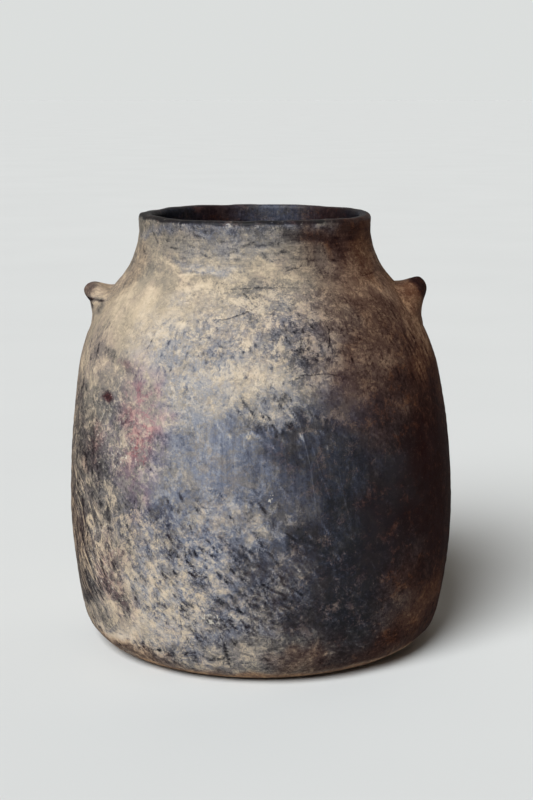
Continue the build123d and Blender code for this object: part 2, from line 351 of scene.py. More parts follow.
# Tints of the smoke and of the clay; parts of the blue and of the brown are painted light, as said at each
# Blue-grey tint, partly the smoke's own and partly a painted sheen of the window on the burnished belly and
# the lip
BLUE_AND_SHEEN = (
    (-10, 150, 30, 50, 1, 0.9), (-36, 145, 18, 48, 0.8, 0.8), (18, 116, 22, 80, 0.9, 0.9),
    (-10, 62, 28, 50, 0.85, 0.8), (-20, 271, 15, 6, 0.8, 0.8), (-14, 287, 24, 9, 0.45, 0.8),
    (2, 226, 24, 32, 0.6, 0.8), (30, 118, 18, 66, 0.95, 0.9), (-10, 197, 24, 14, 0.45, 0.7),
    (-26, 212, 16, 26, 0.8, 0.8), (-62, 130, 18, 60, 0.15, 0.7), (-26, 72, 17, 50, 0.8, 0.8),
    (-54, 60, 14, 45, 0.3, 0.7), (-10, 298, 60, 5, 0.7, 0.9), (158, 112, 34, 62, 0.9, 0.9),
    (-158, 200, 28, 36, 0.6, 0.8), (-29, 190, 8, 17, 0.75, 0.8), (-28, 110, 11, 17, 0.9, 0.8),
    (-18, 97, 8, 11, 1, 0.8), (-5, 24, 9, 14, 0.15, 0.8), (-46, 20, 15, 8, 0.5, 0.8),
)
RED = (
    (-37, 168, 9, 42, 0.5, 1), (-40, 176, 3, 15, 0.6, 0.9), (-38, 151, 4, 13, 1, 1),
    (-34, 194, 4, 10, 0.75, 0.9), (-31, 176, 3, 13, 0.8, 0.9), (-37, 128, 5, 18, 0.4, 0.8),
    (-55, 150, 7, 18, 0.45, 0.8), (-45, 207, 4, 7, 0.4, 0.8), (-48, 64, 8, 24, 0.35, 0.8),
)
# Brown, partly brown smoke and partly painted warm bounce light on the shaded right side; the band round
# the foot at height 5 is painted bounce light
BROWN_AND_BOUNCE = (
    (73, 120, 31, 190, 1, 1), (46, 246, 24, 46, 0.8, 0.9), (46, 286, 28, 16, 0.8, 0.9),
    (64, 276, 16, 16, 1, 0.9), (88, 243, 12, 16, 1, 1), (50, 20, 26, 22, 0.9, 0.9),
    (112, 152, 20, 38, 0.9, 0.9), (118, 54, 18, 24, 0.7, 0.8), (104, 232, 20, 28, 0.8, 0.8),
    (-140, 150, 60, 160, 1, 0.6), (0, 5, 400, 10, 0.65, 0.8), (36, 195, 16, 30, 0.7, 0.8),
    (-72, 85, 9, 34, 0.45, 0.8), (-68, 272, 12, 20, 0.3, 0.8),
)
# Finishes of the surface
BURNISHED = (
    (-8, 155, 26, 34, 1, 1), (20, 125, 22, 75, 1, 0.8),
)
MOTTLED = (
    (-50, 240, 34, 26, 0.55, 1), (0, 232, 30, 40, 1.25, 1), (-12, 152, 24, 32, 0.4, 1),
    (20, 125, 22, 70, 0.4, 0.9), (-40, 160, 18, 36, 1, 0.8), (-30, 60, 34, 60, 1.15, 1),
    (-70, 110, 14, 70, 1.5, 0.9), (30, 60, 22, 50, 0.9, 0.8), (66, 110, 30, 100, 0.8, 1),
    (44, 240, 24, 40, 0.9, 0.9), (0, 282, 400, 16, 0.65, 0.8), (-27, 117, 13, 18, 0.5, 0.9),
)
STREAKED = (
    (-98, 92, 22, 60, 0.5, 0.8), (-66, 78, 18, 55, 1, 1), (-20, 66, 34, 48, 0.45, 1),
    (60, 226, 28, 46, 0, 1), (180, 130, 90, 120, 0.3, 1),
)
WORN = (
    (-58, 90, 20, 60, 0.95, 1), (-30, 60, 26, 46, 0.6, 1), (14, 78, 20, 32, 0.4, 1),
    (34, 90, 18, 45, 0.2, 0.9), (20, 170, 16, 24, 0.35, 0.9), (0, 228, 30, 34, 0.25, 1),
    (-46, 165, 12, 36, 0.25, 0.9), (180, 130, 90, 120, 0.5, 1), (-27, 117, 13, 18, 0.1, 0.9),
)
CRUSTED = (
    (-52, 165, 14, 36, 0.55, 1), (-43, 148, 7, 14, 0.75, 0.9), (-35, 143, 4, 7, 0.85, 1),
    (-54, 75, 14, 40, 0.6, 1), (-32, 42, 16, 20, 0.5, 1), (-6, 215, 26, 24, 0.4, 1),
    (-13, 52, 4, 5, 1.2, 1), (3, 126, 2.5, 3, 1, 1), (-3.5, 102, 1.5, 2, 1, 1),
    (-10, 299, 70, 5, 0.45, 1),
)
SCRAPED = (
    (0, 279, 400, 17, 1, 1), (0, 20, 400, 9, 0.9, 0.9),
)
# Maroon spot, and chips on the lip
SPOTS = (
    (-52.5, 184.5, 2.6, 4.2, 1, 1),
)
CHIPS = (
    (-37, 297.6, 3, 1.8, 1, 1), (-12.5, 297, 3.4, 2, 1, 1), (4, 295.5, 6, 2.4, 1, 1),
)
# How far the edges of the marks stray in mm, and over what lengths
WANDERS = ((13.0, 46 * MM), (9.0, 19 * MM), (5.0, 8 * MM))
MM_PER_DEGREE = 2.2
# Where a mark or a touch starts to fade and where it ends, in half widths
MARK_EDGE = (0.35, 1.55)
TOUCH_EDGE = (0.2, 1.6)


def strayed(bearing, points, wanders):
    """Bearing in degrees and height in mm, both strayed so that the edges of the marks wander."""
    rise = sum(noise(points, *wander, 6) for wander in wanders)
    turn = sum(noise(points, *wander, 7) for wander in wanders)
    return np.degrees(bearing) + turn / MM_PER_DEGREE, points[:, 2] / MM + rise


def turn_from(bearing, middle):
    """Signed angle in degrees from a middle bearing, the short way round."""
    return (bearing - middle + 180) % 360 - 180


def covered(turned, height, patch, edge):
    """How much of a soft-edged patch lies on each point."""
    middle, middle_height, half_width, half_height = patch
    reach = np.hypot(turn_from(turned, middle) / half_width, (height - middle_height) / half_height)
    return 1 - smooth_step(*edge, reach)


def painted(turned, height, marks, ground):
    """Value at each point after painting the marks, in order, over the ground."""
    value = ground.copy()
    for *patch, level, opacity in marks:
        value += opacity * covered(turned, height, patch, MARK_EDGE) * (level - value)
    return value


def touched(turned, height):
    """Sum of the touches at each point."""
    total = np.zeros(len(turned))
    for *patch, shift in TOUCHES:
        total += shift * covered(turned, height, patch, TOUCH_EDGE)
    return total


# Rubbed strokes: bearing, height, half width and half height of a patch, number of strokes in it,
# slant from upright in degrees, length and width in mm, and how much soot a stroke leaves or takes
STROKES = (
    (-66, 82, 14, 44, 260, 24, 13, 2, 0.2), (-40, 64, 16, 42, 200, 32, 10, 1.8, 0.18),
    (-14, 66, 16, 42, 240, 42, 12, 1.8, 0.21), (4, 70, 14, 45, 200, 44, 11, 1.8, -0.16),
    (-60, 70, 20, 44, 150, 26, 11, 1.9, -0.15), (-30, 105, 22, 24, 120, 36, 9, 1.9, -0.07),
    (-72, 190, 10, 44, 90, 16, 10, 1.9, 0.18), (6, 224, 22, 22, 200, 20, 6, 1.7, 0.15),
    (-20, 212, 24, 22, 120, -24, 6, 1.7, 0.11), (58, 216, 18, 26, 50, 18, 12, 2.2, 0.12),
    (66, 210, 7, 16, 16, 8, 22, 3, 0.2), (60, 236, 20, 24, 30, 14, 10, 2.4, -0.05),
    (-63, 211, 5, 9, 26, 20, 7, 2, 0.08), (-60, 229, 4, 6, 6, 24, 5, 1.8, 0.22),
    (-53, 209, 4, 9, 18, 25, 6, 1.8, 0.08), (40, 120, 30, 70, 120, 30, 16, 2.4, -0.08),
    (-34, 20, 34, 4, 130, 84, 9, 1.7, 0.17), (20, 24, 26, 6, 80, 80, 11, 1.8, -0.12),
    (0, 278, 60, 10, 160, 80, 12, 1.7, 0.1), (-30, 268, 40, 10, 120, 76, 12, 1.8, -0.1),
    (180, 120, 70, 90, 420, 30, 10, 2, 0.15), (180, 160, 70, 90, 300, 30, 10, 2, -0.13),
    (2, 182, 9, 9, 46, 30, 9, 1.8, 0.2), (4, 173, 10, 9, 46, 30, 9, 1.8, -0.2),
    (-92, 90, 14, 46, 140, 26, 11, 2, 0.14), (-96, 84, 16, 46, 110, 26, 11, 2, -0.13),
)
STROKE_SEED = 5
STROKE_SPREAD = 0.7  # of the half width and half height of the patch
SLANT_SPREAD = 13  # degrees
STROKE_CURVE = 0.006  # mm across for each square mm along
# Least and most of the half length, half width and strength, as shares of those in the row
STROKE_LENGTHS = (0.2, 0.65)
STROKE_WIDTHS = (0.35, 0.7)
STROKE_STRENGTHS = (0.4, 1.2)
STROKE_LIMIT = 0.4


def rubbed_strokes(heights, radii):
    """Strokes on the grid of the outer skin, for rows of these heights and radii in mm."""
    chance = np.random.default_rng(STROKE_SEED)
    strokes = np.zeros((len(heights), AROUND))
    step = 360 / AROUND
    for bearing, height, half_width, half_height, count, slant, length, width, level in STROKES:
        for _ in range(count):
            middle = bearing + half_width * chance.normal() * STROKE_SPREAD
            middle_height = height + half_height * chance.normal() * STROKE_SPREAD
            tilt = math.radians(slant + SLANT_SPREAD * chance.normal())
            half_length = length * chance.uniform(*STROKE_LENGTHS)
            half_across = width * chance.uniform(*STROKE_WIDTHS)
            curve = STROKE_CURVE * chance.normal()
            strength = level * chance.uniform(*STROKE_STRENGTHS)
            reach = half_length + half_across
            low, high = np.searchsorted(heights, (middle_height - reach, middle_height + reach))
            if low == high:
                continue
            mm_per_step = math.radians(step) * radii[(low + high) // 2]
            spread = math.ceil(reach / mm_per_step)
            columns = round((middle + 180) / step) + np.arange(-spread, spread + 1)
            across = (columns * step - 180 - middle) / step * mm_per_step
            down = middle_height - heights[low:high, None]
            along = across * math.sin(tilt) + down * math.cos(tilt)
            aside = across * math.cos(tilt) - down * math.sin(tilt) + curve * along**2
            shape = np.clip(1 - (along / half_length) ** 2, 0, 1)
            shape *= np.clip(1 - (aside / half_across) ** 2, 0, 1)
            strokes[low:high, columns % AROUND] += strength * shape
    return np.clip(strokes, -STROKE_LIMIT, STROKE_LIMIT)


# Hairline cracks, as bearings and heights, with how dark each is; a scratch is lighter than the surface
CRACKS = (
    (0.8, ((-13.5, 239.5), (-9.5, 240.3), (-4.5, 243), (0, 246.5), (2.4, 250))),
    (0.8, ((13, 268), (17, 270), (19, 269.6), (22, 271.5))),
    (0.6, ((10, 202), (12, 205), (14.5, 206.8), (17, 206.2), (20, 207), (23, 205.8), (25.5, 204))),
    (0.9, ((24.3, 237.5), (25.2, 233), (24.4, 227), (24, 224), (22.5, 219))),
    (0.6, ((7, 193), (9, 186), (11, 178))),
    (0.7, ((52, 262), (58, 262.5), (66, 263))),
    (0.4, ((-13, 257.5), (0, 258.5), (12, 258.5), (22, 257.5))),
    (0.7, ((-15, 258), (-13.4, 260.5), (-12.6, 262.5))),
    (0.6, ((-5, 256), (-2.4, 252), (-1, 249.5))),
    (0.6, ((-66, 224.5), (-64.8, 226.4), (-64, 228))),
    (0.6, ((-62, 225), (-60.6, 228), (-60, 229.4))),
    (0.7, ((-37, 219), (-35.8, 223.5), (-35.4, 226))),
    (0.5, ((-31, 75), (-30.6, 62), (-30.8, 48))),
    (0.5, ((-23.6, 50), (-23.4, 42), (-23.8, 33))),
    (-0.34, ((6.5, 197), (11.5, 178), (14, 150), (15.5, 118))),
    (-0.22, ((14, 170), (16.5, 148), (20, 124))),
    (-0.2, ((22, 150), (23.5, 128), (26, 108))),
)
CRACK_REACH = 6.0  # mm
CRACK_MARGIN = 5  # degrees
CRACK_FADE = 0.7  # share of the way from the middle to the ends where a crack starts to fade


def crack_marks(bearing, height, radius):
    """Signed distance in mm to the nearest crack, and how dark the crack is there."""
    offset = np.full(len(bearing), CRACK_REACH)
    depth = np.zeros(len(bearing))
    turned = np.degrees(bearing)
    for level, line in CRACKS:
        line = np.array(line, dtype=float)
        low, high = line.min(axis=0), line.max(axis=0)
        near = (turned > low[0] - CRACK_MARGIN) & (turned < high[0] + CRACK_MARGIN)
        near &= (height > low[1] - CRACK_REACH) & (height < high[1] + CRACK_REACH)
        near = np.flatnonzero(near)
        if not near.size:
            continue
        scale = math.radians(1) * radius[near].mean()
        lengths = np.hypot(*(np.diff(line, axis=0) * (scale, 1)).T)
        start = 0.0
        for (first, second), length in zip(zip(line, line[1:]), lengths):
            run = (second - first) * (scale, 1)
            x = (turned[near] - first[0]) * scale
            z = height[near] - first[1]
            share = np.clip((x * run[0] + z * run[1]) / length**2, 0, 1)
            distance = np.hypot(x - share * run[0], z - share * run[1])
            closer = distance < np.abs(offset[near])
            side = np.where(x * run[1] > z * run[0], 1, -1)
            along = (start + share * length) / lengths.sum()
            fade = 1 - smooth_step(CRACK_FADE, 1, np.abs(2 * along - 1))
            offset[near[closer]] = (side * distance)[closer]
            depth[near[closer]] = (level * fade)[closer]
            start += length
    return offset, depth


STREAK_TWIST = 6.5  # radians of turn per metre of height along a slanting streak
STREAK_WIDTH = 5 * MM
STREAK_RISE = 18 * MM
STREAK_WAVE = (0.1, 45 * MM, 10)  # its depth in radians


def streak_place(bearing, points):
    """Noise coordinates that are stretched along slanting streaks and close up round the jar."""
    turn = bearing + STREAK_TWIST * points[:, 2] + noise(points, *STREAK_WAVE)
    scale = BELLY_RADIUS / STREAK_WIDTH
    return np.stack([scale * np.cos(turn), scale * np.sin(turn), points[:, 2] / STREAK_RISE], axis=1)


# Ground under the marks
GROUND_SOOT = 0.58
GROUND_CLOUDS = ((0.2, 60 * MM, 11), (0.12, 27 * MM, 9))
GROUND_MOTTLE = 0.9
GROUND_STREAKS = 0.15
# Maroon spot, a paler and browner band round the heel that is painted bounce light from the floor, black
# lip and its chips
SPOT_SOOT = 0.86
HEEL_EDGE = (6 * MM, 11 * MM)
HEEL_STRAY = (3 * MM, 14 * MM, 5)
HEEL_BOUNCE_LEVEL = 0.44
HEEL_BOUNCE_BROWN = 0.8
LIP_EDGE = (HEIGHT - 3.4 * MM, HEIGHT - 1.4 * MM)
LIP_STRAY = (1.6 * MM, 9 * MM, 4)
LIP_SOOT = 0.92
LIP_GRAIN = (0.08, 3.5 * MM, 8)
LIP_BURNISH = 0.6
CHIP_SOOT = 0.46
CHIP_SHARE = 0.7
CHIP_GRAIN = (0.9, 1.7 * MM, 9)
CHIP_EDGE = (0.5, 0.9)


def blend(marks, mark, share, level):
    """Brings a mark nearer to a level, by a share."""
    marks[mark] += share * (level - marks[mark])


def outside_marks(bearing, points):
    """Attributes of the outer skin, at points of the true form."""
    height = points[:, 2]
    far, near, close = (strayed(bearing, points, WANDERS[first:]) for first in range(len(WANDERS)))
    none = np.zeros(len(points))
    ground = GROUND_SOOT + sum(noise(points, *cloud) for cloud in GROUND_CLOUDS)
    crack_offset, crack_depth = crack_marks(bearing, height / MM, np.hypot(*points[:, :2].T) / MM)
    marks = {
        # soot, with painted shade and painted light in places
        "soot_and_shading": painted(*far, SOOT_AND_SHADE, ground) + touched(*near),
        "blue": painted(*far, BLUE_AND_SHEEN, none),
        "red": painted(*near, RED, none),
        "brown": painted(*far, BROWN_AND_BOUNCE, none),
        "burnished": painted(*far, BURNISHED, none),
        "mottled": painted(*far, MOTTLED, none + GROUND_MOTTLE),
        "streaked": painted(*far, STREAKED, none + GROUND_STREAKS),
        "scraped": painted(*far, SCRAPED, none),
        "crusted": painted(*near, CRUSTED, none),
        "worn": painted(*far, WORN, none),
        "strokes": none,
        "crack_offset": crack_offset,
        "crack_depth": crack_depth,
        "streak_place": streak_place(bearing, points),
    }
    spot = painted(*close, SPOTS, none)
    blend(marks, "soot_and_shading", spot, SPOT_SOOT)
    blend(marks, "red", spot, 1)

    # paler, browner band round the heel: painted bounce light from the floor
    heel = 1 - smooth_step(*HEEL_EDGE, height + noise(points, *HEEL_STRAY))
    blend(marks, "soot_and_shading", heel, HEEL_BOUNCE_LEVEL)
    marks["brown"] = np.maximum(marks["brown"], HEEL_BOUNCE_BROWN * heel)

    lip = smooth_step(*LIP_EDGE, height + noise(points, *LIP_STRAY))
    blend(marks, "soot_and_shading", lip, LIP_SOOT + noise(points, *LIP_GRAIN))
    blend(marks, "burnished", lip, LIP_BURNISH)
    ragged = CHIP_SHARE + noise(points, *CHIP_GRAIN)
    chips = ragged * painted(np.degrees(bearing), height / MM, CHIPS, none)
    blend(marks, "soot_and_shading", smooth_step(*CHIP_EDGE, chips), CHIP_SOOT)
    return marks


# Smoke-blackened inside: even levels, a blue tint that is partly painted sheen, a paler place on the back
# wall that is a painted reflection, and browner places, as bearing, half width and depth
INSIDE_LEVELS = {
    "soot_and_shading": 0.95, "blue": 0.9, "mottled": 0.6, "burnished": 0.7, "brown": 0,
    "streaked": 0, "scraped": 0, "crusted": 0, "worn": 0, "crack_depth": 0,
}
INSIDE_SHEEN = (168, 26, 0.22)
INSIDE_BROWN = ((132, 20, 0.6), (-156, 16, 0.6))


def paint_inside(marks, bearing, inner):
    """Paints over the marks of the inside, which starts at this point."""
    turned = np.degrees(bearing[inner:])
    for mark, level in INSIDE_LEVELS.items():
        marks[mark][inner:] = level
    # painted reflection: the back wall is made paler where the light is reflected
    middle, half_width, depth = INSIDE_SHEEN
    marks["soot_and_shading"][inner:] -= depth * bell(turn_from(turned, middle), half_width)
    for middle, half_width, depth in INSIDE_BROWN:
        marks["brown"][inner:] += depth * bell(turn_from(turned, middle), half_width)


# Meshes
def add_object(name, data):
    made = bpy.data.objects.new(name, data)
    bpy.context.scene.collection.objects.link(made)
    return made


def flat_normals(corners):
    """Normals of quads that are shaded flat."""
    flat = np.cross(corners[:, 2] - corners[:, 0], corners[:, 3] - corners[:, 1])
    return flat / (np.linalg.norm(flat, axis=1, keepdims=True) + TINY)


def make_piece(node, points, faces, normals, marks, slot):
    """A closed mesh with its normals and its marks, set over the solid that it stands for."""
    name = node + "_clay"
    mesh = bpy.data.meshes.new(name)
    mesh.from_pydata(points.tolist(), [], faces)
    for mark, values in marks.items():
        is_vector = values.ndim == 2
        layer = mesh.attributes.new(mark, "FLOAT_VECTOR" if is_vector else "FLOAT", "POINT")
        layer.data.foreach_set("vector" if is_vector else "value", values.astype(np.float32).ravel())
    mesh.shade_smooth()
    mesh.normals_split_custom_set(normals.tolist())
    mesh.materials.append(clays[slot])
    piece = add_object(name, mesh)
    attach(piece, "root")
    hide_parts(node)


def course_piece(node, points, normals, marks, outside_rows, inside_rows, slot):
    """A course as a closed ring: up its outer skin, over its head, down its inner skin and back.

    The base pan has no hole, so its first and last rows are closed by caps.
    """
    is_base = node == COURSES[0]
    outer = np.arange(outside_rows[0], outside_rows[1] + 1)
    inner = np.arange(inside_rows[0], inside_rows[1] + 1)
    inner = inner[inner > outer[-1]]
    listed = np.concatenate([outer, inner])
    vertex = (listed[:, None] * AROUND + np.arange(AROUND)).ravel()

    here = np.arange(AROUND)
    after = np.roll(here, -1)
    low = np.arange(len(listed))[:, None] * AROUND
    high = np.roll(low, -1, axis=0)
    quads = np.stack([low + here, low + after, high + after, high + here], axis=2)
    is_joint = np.zeros(len(listed), bool)
    is_joint[len(outer) - 1] = inner[0] != outer[-1] + 1
    is_joint[-1] = True
    if is_base:
        quads = quads[:-1]
        is_joint = is_joint[:-1]

    points = points[vertex]
    loop_normals = normals[vertex][quads]
    for row in np.flatnonzero(is_joint):
        loop_normals[row] = flat_normals(points[quads[row]])[:, None]
    faces = quads.reshape(-1, 4).tolist()
    loop_normals = loop_normals.reshape(-1, 3)
    marks = {mark: values[vertex] for mark, values in marks.items()}

    if is_base:
        count = len(points)
        last = count - AROUND
        faces += [(count, after[k], k) for k in here]
        faces += [(count + 1, last + k, last + after[k]) for k in here]
        points = np.vstack([points, points[:AROUND].mean(0), points[-AROUND:].mean(0)])
        caps = np.repeat([[0, 0, -1.0], [0, 0, 1.0]], 3 * AROUND, axis=0)
        loop_normals = np.vstack([loop_normals, caps])
        marks = {mark: np.concatenate([v, v[:1], v[-1:]]) for mark, v in marks.items()}
    make_piece(node, points, faces, loop_normals, marks, slot)


# Lugs: outlines in the upright plane through the axis, as radius and height in mm, from foot to head
LEFT_LUG = ((115.2, 226), (114.6, 231), (115.6, 236.5), (116.6, 240.8), (117.2, 242.6), (119.6, 244.2),
            (119.8, 247.4), (117.2, 250.4), (113.0, 251.5), (108.6, 250.3), (104.6, 248.6), (101.2, 248.0))
RIGHT_LUG = ((115.2, 229), (115.4, 234.5), (116.6, 240), (118.4, 245.2), (118.6, 249.2), (116.6, 253.2),
             (113.2, 255.3), (108.4, 254.2), (103.4, 252.2), (99.4, 251.0))
SPLINE_STEPS = 40
LUG_FOOT = 220 * MM
LUG_HEADS = {-1: 252.5 * MM, 1: 253.5 * MM}
LUG_HALF_WIDTH = 36 * MM
LUG_ALONG = 90
LUG_ACROSS = 84
LUG_WANING = 2.0
LUG_FEATHER = 2.5 * MM
LUG_SINK = 0.6 * MM
LUG_BACK = 4 * MM
# How proud of the skin the lug's own finish, its nose and its painted shadow lines start, and are full
LUG_OWN = (0.5 * MM, 5 * MM)
LUG_NOSE = (7.5 * MM, 12.5 * MM)
LUG_SHADOW_LINES = (1 * MM, 3 * MM)
NOSE_STRAY = (2 * MM, 6 * MM, 9)
LUG_SOOT_AND_SHADE = {-1: (0.32, 0.62), 1: (0.62, 0.95)}  # on the flank, and on the nose; the right lug's nearly black nose is partly soot and partly painted shade
LUG_BROWN = {-1: 0.4, 1: 0.8}  # on the nose
LUG_MOTTLE = 0.7
# Reddened tip of the left lug, the painted shadow in the crease under it and the painted shade that runs
# down below the crease
TIP_RED = 0.8
TIP_START = 0.84  # share of the most proud place
SHADOW_LINE_DARKNESS = 0.8
LINE_SHARE = 0.6
LINE_GRAIN = (0.4, 4 * MM, 8)
LINE_STRAY = (1, 7 * MM, 4)  # its depth in mm
CREASE_SHADOW_HEIGHT = 242.3
CREASE_SHADOW_HALF = 1.2
CREASE_SHADOW_BACK = (math.radians(-98), math.radians(-90))  # bearings over which the crease comes in
CREASE_SHADOW_FRONT = (math.radians(-79), math.radians(-70))  # bearings over which it runs out
SHADE_STREAK_BEARING = math.radians(-81)
SHADE_STREAK_HALF = math.radians(1.6)
SHADE_STREAK_RUN = (230.0, 236.0)  # heights over which the painted shade comes in


def spline(points, count):
    """Smooth curve through the points, with samples spread evenly over its length."""
    points = np.vstack([2 * points[0] - points[1], points, 2 * points[-1] - points[-2]])
    share = np.linspace(0, 1, SPLINE_STEPS, endpoint=False)[:, None]
    curve = []
    for a, b, c, d in zip(points, points[1:], points[2:], points[3:]):
        square = 2 * a - 5 * b + 4 * c - d
        cube = 3 * (b - c) + d - a
        curve.append(b + share / 2 * (c - a + share * (square + share * cube)))
    curve = np.vstack([*curve, points[-2:-1]])
    length = np.append(0, np.hypot(*np.diff(curve, axis=0).T).cumsum())
    places = np.linspace(0, length[-1], count)
    return np.stack([np.interp(places, length, column) for column in curve.T], axis=1)


def left_lug_shadow_lines(bearing, section, front, proud, grain):
    """Painted shadow in the crease under the left lug, and painted shade that runs down from it."""
    height = section[:, 1] / MM + noise(front, *LINE_STRAY)
    crease_shadow = bell(height - CREASE_SHADOW_HEIGHT, CREASE_SHADOW_HALF)
    crease_shadow *= smooth_step(*CREASE_SHADOW_BACK, bearing) * (1 - smooth_step(*CREASE_SHADOW_FRONT, bearing))
    shade_streak = bell(bearing - SHADE_STREAK_BEARING, SHADE_STREAK_HALF)
    shade_streak *= smooth_step(*SHADE_STREAK_RUN, height) * (height < CREASE_SHADOW_HEIGHT)
    return SHADOW_LINE_DARKNESS * grain * (crease_shadow + shade_streak) * smooth_step(*LUG_SHADOW_LINES, proud)


def lug_marks(side, bearing, section, front, proud):
    """Attributes of a lug: those of the skin round it, then its own flank and nose."""
    marks = outside_marks(bearing, place(section[:, 0], bearing, section[:, 1]))
    nose = smooth_step(*LUG_NOSE, proud + noise(front, *NOSE_STRAY))
    # the right lug's dark nose is partly painted shade
    flank_soot, nose_soot_and_shade = LUG_SOOT_AND_SHADE[side]
    own = smooth_step(*LUG_OWN, proud)
    blend(marks, "soot_and_shading", own, flank_soot + nose * (nose_soot_and_shade - flank_soot))
    blend(marks, "mottled", own, LUG_MOTTLE)
    marks["streaked"] *= 1 - own
    blend(marks, "brown", nose, LUG_BROWN[side])
    if side < 0:
        grain = LINE_SHARE + noise(front, *LINE_GRAIN)
        marks["red"] = TIP_RED * grain * smooth_step(TIP_START, 1.0, proud / proud.max())
        # painted shadow in the crease under the tip, and painted shade below it
        marks["soot_and_shading"] += left_lug_shadow_lines(bearing, section, front, proud, grain)
    return marks


def lug_piece(node, side, outline, slot):
    """A lug drawn out of the shoulder: its outline fades into the skin to both sides."""
    head = LUG_HEADS[side]
    ends = skin_at(LUG_FOOT)[:2], skin_at(head)[:2]
    curve = spline(np.vstack([ends[0], np.array(outline) * MM, ends[1]]), LUG_ALONG)
    heights = np.linspace(LUG_FOOT, head, LUG_ALONG)
    skin = np.array([skin_at(height) for height in heights])
    across = np.linspace(-1, 1, LUG_ACROSS)
    fullness = ((1 - across**2) ** LUG_WANING)[None, :, None]
    section = skin[:, None, :2] + fullness * (curve - skin[:, :2])[:, None]

    bearing = side * math.pi / 2 + across * LUG_HALF_WIDTH / skin_at((LUG_FOOT + head) / 2)[0]
    bearing = np.broadcast_to(bearing, section.shape[:2]).ravel()
    under = np.broadcast_to(skin[:, None], (*section.shape[:2], 4)).reshape(-1, 4)
    skin_points = place(under[:, 0], bearing, under[:, 1])
    outward = place(under[:, 2], bearing, under[:, 3])
    shift = uneven(skin_points, outward) - skin_points
    section = section.reshape(-1, 2)
    proud = np.hypot(*(section - under[:, :2]).T)
    sink = LUG_SINK * (1 - smooth_step(0, LUG_FEATHER, proud))
    front = place(section[:, 0], bearing, section[:, 1]) + shift - outward * sink[:, None]
    back = skin_points + shift - outward * LUG_BACK

    count = len(front)
    grid = np.arange(count).reshape(LUG_ALONG, LUG_ACROSS)
    quads = np.stack([grid[:-1, :-1], grid[:-1, 1:], grid[1:, 1:], grid[1:, :-1]], axis=2).reshape(-1, 4)
    border = np.concatenate([grid[0, :-1], grid[:-1, -1], grid[-1, :0:-1], grid[:0:-1, 0]])
    ahead = np.roll(border, -1)
    sides = np.stack([border + count, ahead + count, ahead, border], axis=1)
    hidden = np.vstack([quads[:, ::-1] + count, sides])
    points = np.vstack([front, back])
    normals = grid_normals(front, LUG_ALONG, LUG_ACROSS, closed=False)
    hidden_normals = np.repeat(flat_normals(points[hidden]), 4, axis=0)
    loop_normals = np.vstack([normals[quads].reshape(-1, 3), hidden_normals])
    marks = lug_marks(side, bearing, section, front, proud)
    marks = {mark: np.concatenate([values, values]) for mark, values in marks.items()}
    make_piece(node, points, np.vstack([quads, hidden]).tolist(), loop_normals, marks, slot)


# Materials
def linear(red, green, blue):
    """Colour from 0-255 display values to the linear values that shaders use."""
    share = np.array([red, green, blue]) / 255
    value = np.where(share <= 0.04045, share / 12.92, ((share + 0.055) / 1.055) ** 2.4)
    return (*value, 1.0)


class Graph:
    """Short names for the nodes that the materials are made of."""

    def __init__(self, name):
        self.material = bpy.data.materials.new(name)
        self.material.use_nodes = True
        self.tree = self.material.node_tree
        self.shader = self.tree.nodes["Principled BSDF"]
        self.place = self.node("ShaderNodeTexCoord").outputs["Object"]

    def node(self, kind, **settings):
        made = self.tree.nodes.new(kind)
        for setting, value in settings.items():
            setattr(made, setting, value)
        return made

    def feed(self, node, sockets):
        """Links or sets the sockets of a node, given by name or number."""
        for socket, value in sockets.items():
            if isinstance(value, bpy.types.NodeSocket):
                self.tree.links.new(value, node.inputs[socket])
            else:
                node.inputs[socket].default_value = value

    def attribute(self, name, output="Fac"):
        return self.node("ShaderNodeAttribute", attribute_name=name).outputs[output]

    def scaled(self, vector, scale):
        made = self.node("ShaderNodeMapping")
        self.feed(made, {"Vector": vector, "Scale": scale})
        return made.outputs["Vector"]

    def noise(self, vector, scale, detail, roughness, distortion):
        """Noise that swings about nought."""
        made = self.node("ShaderNodeTexNoise")
        self.feed(made, {"Vector": vector, "Scale": scale, "Detail": detail})
        self.feed(made, {"Roughness": roughness, "Distortion": distortion})
        return self.less(made.outputs["Fac"], 0.5)

    def math(self, operation, *values):
        made = self.node("ShaderNodeMath", operation=operation)
        self.feed(made, dict(enumerate(values)))
        return made.outputs[0]

    def total(self, *values):
        result = values[0]
        for value in values[1:]:
            result = self.math("ADD", result, value)
        return result

    def times(self, *values):
        result = values[0]
        for value in values[1:]:
            result = self.math("MULTIPLY", result, value)
        return result

    def less(self, first, second):
        return self.math("SUBTRACT", first, second)

    def sum_of(self, *terms):
        """Adds up terms, each of which is a row of factors."""
        return self.total(*[self.times(*term) for term in terms])

    def between(self, value, low, high, start=0.0, end=1.0):
        made = self.node("ShaderNodeMapRange", interpolation_type="SMOOTHSTEP")
        self.feed(made, {"Value": value, "From Min": low, "From Max": high, "To Min": start, "To Max": end})
        return made.outputs["Result"]

    def mix(self, share, first, second):
        made = self.node("ShaderNodeMix", data_type="RGBA")
        self.feed(made, {"Factor": share, "A": first, "B": second})
        return made.outputs["Result"]

    def ramp(self, value, stops):
        made = self.node("ShaderNodeValToRGB")
        self.feed(made, {"Fac": value})
        elements = made.color_ramp.elements
        while len(elements) < len(stops):
            elements.new(0.5)
        for element, (position, *colour) in zip(elements, stops):
            element.position = position
            element.color = linear(*colour)
        return made.outputs["Color"]


